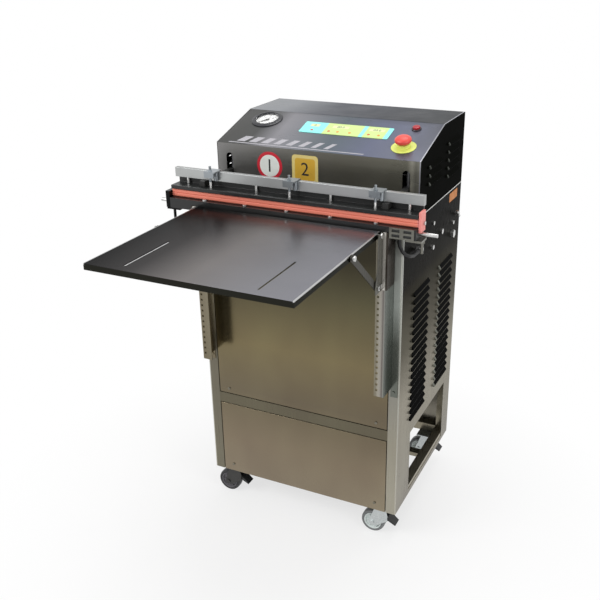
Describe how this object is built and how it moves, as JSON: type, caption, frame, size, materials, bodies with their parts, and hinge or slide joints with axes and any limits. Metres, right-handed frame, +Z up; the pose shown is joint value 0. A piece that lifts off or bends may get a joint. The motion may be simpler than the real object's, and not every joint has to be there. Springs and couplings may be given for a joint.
{
  "type": "external vacuum sealer",
  "caption": "Floor-standing vacuum packing sealer: louvred steel cabinet on braked casters, sloping control hood, long silicone-lipped jaw with seal bar and height-adjustable table.",
  "frame": {"origin": "under the middle of the machine's outline, on the floor that its casters stand on", "axes": "+X to the operator's right, +Y away from the operator towards the machine's rear, +Z up"},
  "size_m": [0.712, 0.935, 1.0481],
  "materials": {
    "front_steel": "warm grey brushed stainless sheet, vertical grain",
    "hood_steel": "cool grey brushed stainless sheet",
    "side_steel": "brushed stainless sheet, satin",
    "frame_steel": "welded square tube, satin",
    "table_steel": "stainless sheet, near mirror",
    "silicone": "pink silicone rubber, matt",
    "jaw_black": "black anodised",
    "bar_aluminium": "extruded aluminium, satin",
    "bright_steel": "bright zinc or chromed steel",
    "bracket_steel": "dark brushed steel",
    "gauge_black": "black enamelled gauge case",
    "dial_white": "white dial",
    "clear": "clear gauge glass",
    "needle_black": "black pointer",
    "overlay_film": "coloured membrane overlay",
    "stop_yellow": "yellow plastic",
    "stop_red": "red plastic",
    "caster_black": "black nylon wheel",
    "caster_zinc": "zinc-plated pressed steel",
    "pump_grey": "painted cast iron",
    "hose_black": "black rubber hose",
    "box_grey": "grey enamelled box"
  },
  "bodies": {
    "cabinet": {"button_bezel": "bright_steel", "caster_plates": "caster_zinc", "control_box": "box_grey", "control_overlay": "overlay_film", "cross_shaft": "bright_steel", "exhaust_filter": "pump_grey", "frame_posts": "frame_steel", "frame_rails": "frame_steel", "gauge_case": "gauge_black", "gauge_dial": "dial_white", "gauge_glass": "clear", "hood_back": "side_steel", "hood_cover": "hood_steel", "hood_side_left": "side_steel", "hood_side_right": "side_steel", "jaw_bolts": "bright_steel", "jaw_cylinders": "bar_aluminium", "jaw_end_brackets": "bracket_steel", "jaw_hose": "hose_black", "lower_jaw": "jaw_black", "lower_lip": "silicone", "lower_panel": "front_steel", "panel_screws": "bright_steel", "rear_inlets": "caster_black", "rear_panel": "side_steel", "side_fittings": "bright_steel", "side_panel_left": "side_steel", "side_panel_right": "side_steel", "stop_base": "stop_yellow", "table_racks": "frame_steel", "top_deck": "hood_steel", "upper_panel": "front_steel", "vacuum_hose": "hose_black", "vacuum_pump": "pump_grey", "valve_block": "bar_aluminium"},
    "upper_jaw_body": {"upper_jaw": "jaw_black", "upper_lip": "silicone", "seal_bar": "bar_aluminium", "bar_clamps": "bright_steel", "jaw_arms": "bracket_steel"},
    "nozzles": {"nozzle_carriage": "bright_steel"},
    "table": {"table_top": "table_steel", "table_brackets": "bracket_steel", "table_struts": "bracket_steel", "table_pins": "bright_steel"},
    "needle": {"gauge_needle": "needle_black"},
    "stop_head": {"stop_button": "stop_red"},
    "push_cap": {"push_button": "stop_red"},
    "swivel_front_left": {"fork_front_left": "caster_zinc"},
    "roll_front_left": {"wheel_front_left": "caster_black"},
    "brake_front_left": {"pedal_front_left": "caster_black"},
    "swivel_front_right": {"fork_front_right": "caster_zinc"},
    "roll_front_right": {"wheel_front_right": "caster_black"},
    "brake_front_right": {"pedal_front_right": "caster_black"},
    "swivel_rear_left": {"fork_rear_left": "caster_zinc"},
    "roll_rear_left": {"wheel_rear_left": "caster_black"},
    "brake_rear_left": {"pedal_rear_left": "caster_black"},
    "swivel_rear_right": {"fork_rear_right": "caster_zinc"},
    "roll_rear_right": {"wheel_rear_right": "caster_black"},
    "brake_rear_right": {"pedal_rear_right": "caster_black"}
  },
  "joints": [
    {"name": "jaw_lift", "type": "slide", "parent": "cabinet", "child": "upper_jaw_body", "axis": [0, 0, 1], "range_m": [0, 0.036]},
    {"name": "nozzle_slide", "type": "slide", "parent": "cabinet", "child": "nozzles", "axis": [0, -1, 0], "range_m": [0, 0.054]},
    {"name": "table_height", "type": "slide", "parent": "cabinet", "child": "table", "axis": [0, 0, -1], "range_m": [0, 0.18]},
    {"name": "gauge_pointer", "type": "hinge", "parent": "cabinet", "child": "needle", "pos_m": [-0.193, 0.23605, 1.03368], "axis": [0, 0.2833, -0.959], "range_deg": [0, 270], "stiffness_Nm_per_rad": 0.0002},
    {"name": "stop_press", "type": "slide", "parent": "cabinet", "child": "stop_head", "axis": [0, 0.2833, -0.959], "range_m": [0, 0.004], "stiffness_N_per_m": 2500, "springref_m": -0.002},
    {"name": "push_press", "type": "slide", "parent": "cabinet", "child": "push_cap", "axis": [0, 0.2833, -0.959], "range_m": [0, 0.0025], "stiffness_N_per_m": 800, "springref_m": -0.001},
    {"name": "swivel_front_left", "type": "hinge", "parent": "cabinet", "child": "swivel_front_left", "pos_m": [-0.222, 0.0375, 0.0325], "axis": [0, 0, 1], "continuous": true},
    {"name": "roll_front_left", "type": "hinge", "parent": "swivel_front_left", "child": "roll_front_left", "pos_m": [-0.244, 0.0375, 0.0325], "axis": [0, 1, 0], "continuous": true},
    {"name": "brake_front_left", "type": "hinge", "parent": "swivel_front_left", "child": "brake_front_left", "pos_m": [-0.205, 0.0375, 0.054], "axis": [0, 1, 0], "range_deg": [0, 15]},
    {"name": "swivel_front_right", "type": "hinge", "parent": "cabinet", "child": "swivel_front_right", "pos_m": [0.222, 0.0375, 0.0325], "axis": [0, 0, 1], "continuous": true},
    {"name": "roll_front_right", "type": "hinge", "parent": "swivel_front_right", "child": "roll_front_right", "pos_m": [0.2, 0.0375, 0.0325], "axis": [0, 1, 0], "continuous": true},
    {"name": "brake_front_right", "type": "hinge", "parent": "swivel_front_right", "child": "brake_front_right", "pos_m": [0.239, 0.0375, 0.054], "axis": [0, 1, 0], "range_deg": [0, 15]},
    {"name": "swivel_rear_left", "type": "hinge", "parent": "cabinet", "child": "swivel_rear_left", "pos_m": [-0.222, 0.4195, 0.0325], "axis": [0, 0, 1], "continuous": true},
    {"name": "roll_rear_left", "type": "hinge", "parent": "swivel_rear_left", "child": "roll_rear_left", "pos_m": [-0.244, 0.4195, 0.0325], "axis": [0, 1, 0], "continuous": true},
    {"name": "brake_rear_left", "type": "hinge", "parent": "swivel_rear_left", "child": "brake_rear_left", "pos_m": [-0.205, 0.4195, 0.054], "axis": [0, 1, 0], "range_deg": [0, 15]},
    {"name": "swivel_rear_right", "type": "hinge", "parent": "cabinet", "child": "swivel_rear_right", "pos_m": [0.222, 0.4195, 0.0325], "axis": [0, 0, 1], "continuous": true},
    {"name": "roll_rear_right", "type": "hinge", "parent": "swivel_rear_right", "child": "roll_rear_right", "pos_m": [0.2, 0.4195, 0.0325], "axis": [0, 1, 0], "continuous": true},
    {"name": "brake_rear_right", "type": "hinge", "parent": "swivel_rear_right", "child": "brake_rear_right", "pos_m": [0.239, 0.4195, 0.054], "axis": [0, 1, 0], "range_deg": [0, 15]}
  ],
  "couplings": [
    {"joint": "nozzle_slide", "follows": "jaw_lift", "ratio": 1.5}
  ]
}
